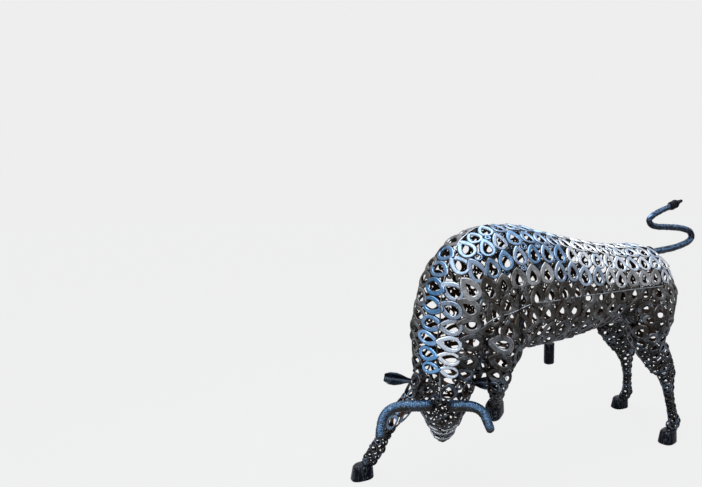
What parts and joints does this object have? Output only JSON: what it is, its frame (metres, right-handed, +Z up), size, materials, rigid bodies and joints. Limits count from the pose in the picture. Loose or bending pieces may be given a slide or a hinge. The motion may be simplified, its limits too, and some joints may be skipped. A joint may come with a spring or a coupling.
{
  "type": "bull sculpture",
  "caption": "Life-size openwork bull of welded teardrop plate rings, head lowered, one foreleg raised, on three hooves.",
  "frame": {"origin": "on the ground, under the middle of the bounding box", "axes": "-X is the way the bull heads, -Y is its left side and +Z is up"},
  "size_m": [2.4682, 0.7198, 1.5571],
  "materials": {
    "ring_steel": "weathered steel plate, bright on top and dark below",
    "bar_steel": "satin steel bar with weld ripples",
    "dark_steel": "blackened steel"
  },
  "bodies": {
    "root": {"ring_shell": "ring_steel", "horn_left": "bar_steel", "horn_right": "bar_steel", "tail_bar": "bar_steel", "tail_tuft": "dark_steel", "ear_left": "dark_steel", "ear_right": "dark_steel", "sheath": "dark_steel", "hoof_front_left": "dark_steel", "hoof_front_right": "dark_steel", "hoof_hind_left": "dark_steel", "hoof_hind_right": "dark_steel"}
  },
  "joints": []
}
